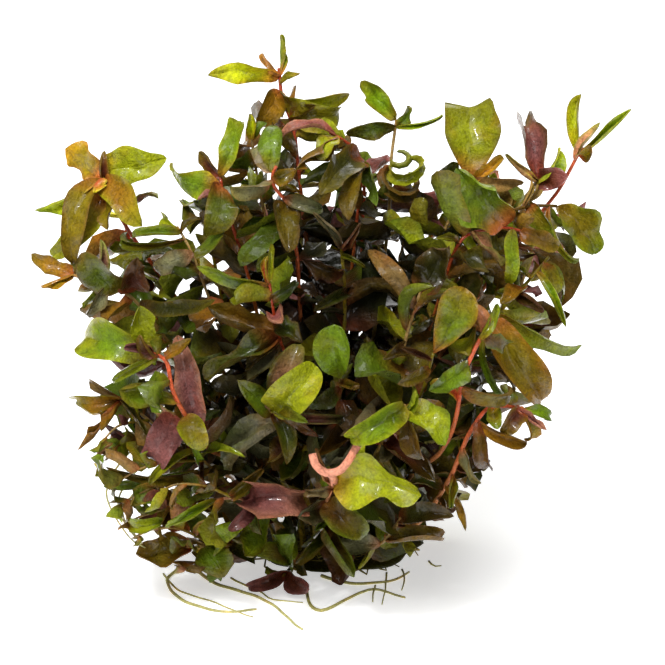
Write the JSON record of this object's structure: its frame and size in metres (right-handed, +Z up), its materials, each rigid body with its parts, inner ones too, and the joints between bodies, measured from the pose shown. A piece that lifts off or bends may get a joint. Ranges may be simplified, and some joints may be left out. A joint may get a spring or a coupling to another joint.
{
  "type": "aquarium plant",
  "caption": "rotala macrandra: a rinsed, tangled clump of young plants with opposite ovate leaves on thin stems that rise from one root crown, and pale trailing roots",
  "frame": {"origin": "at the middle of the flat underside of the root crown, level with the surface the clump stands on, below the centre of its box to within half a millimetre", "axes": "+Z up along the stems; -Y towards the side that faces the viewer, where the roots trail out; +X to the viewer's right"},
  "size_m": [0.0743, 0.0618, 0.065],
  "materials": {
    "wet_brown": "gloss",
    "wet_burgundy": "gloss",
    "wet_dark": "gloss",
    "wet_deep": "gloss",
    "wet_green": "gloss",
    "wet_grey": "gloss",
    "wet_khaki": "gloss",
    "wet_lime": "gloss",
    "wet_ochre": "gloss",
    "wet_olive": "gloss",
    "wet_purple": "gloss",
    "wet_root": "satin",
    "wet_salmon": "gloss"
  },
  "bodies": {
    "root": {"big_lime_leaf": "wet_lime", "left_green_leaf": "wet_green", "left_lime_leaf": "wet_lime", "purple_leaf": "wet_purple", "round_lime_leaf": "wet_lime", "bright_green_leaf": "wet_green", "big_dark_leaf": "wet_dark", "glossy_green_leaf": "wet_green", "right_ochre_leaf": "wet_ochre", "big_cupped_leaf": "wet_dark", "big_grey_leaf": "wet_grey", "big_folded_leaf": "wet_olive", "upper_green_leaf": "wet_green", "node_left_leaf": "wet_green", "big_front_leaf": "wet_lime", "top_stem": "wet_brown", "arching_stem": "wet_olive", "coral_stem": "wet_grey", "pale_bud_stem": "wet_lime", "dark_red_stem": "wet_green", "left_top_stem": "wet_olive", "arching_leaf_stem": "wet_green", "left_stem": "wet_green", "hooked_coral_stem": "wet_burgundy", "left_edge_stem": "wet_ochre", "purple_leaf_stem": "wet_lime", "ruffled_leaf_stem": "wet_green", "low_left_stem": "wet_green", "low_front_stem": "wet_burgundy", "rosette_stem": "wet_salmon", "front_green_stem": "wet_olive", "bud_stem": "wet_deep", "middle_stem": "wet_grey", "big_dark_leaf_stem": "wet_green", "glossy_leaf_stem": "wet_olive", "coral_double_stem": "wet_green", "right_coral_stem": "wet_olive", "right_edge_stem": "wet_lime", "red_node_stem": "wet_brown", "grey_leaf_stem": "wet_olive", "right_top_stem": "wet_lime", "burgundy_leaf_stem": "wet_green", "folded_leaf_stem": "wet_khaki", "upper_green_stem": "wet_deep", "front_node_stem": "wet_lime", "front_low_stem": "wet_lime", "low_right_stem": "wet_olive", "back_stem_1": "wet_green", "back_stem_2": "wet_brown", "back_stem_3": "wet_deep", "back_stem_4": "wet_burgundy", "back_stem_5": "wet_lime", "back_stem_6": "wet_lime", "back_stem_7": "wet_ochre", "back_stem_8": "wet_burgundy", "root_crown": "wet_root", "root_far_left": "wet_root", "root_left": "wet_root", "root_middle": "wet_root", "root_right": "wet_root"}
  },
  "joints": []
}
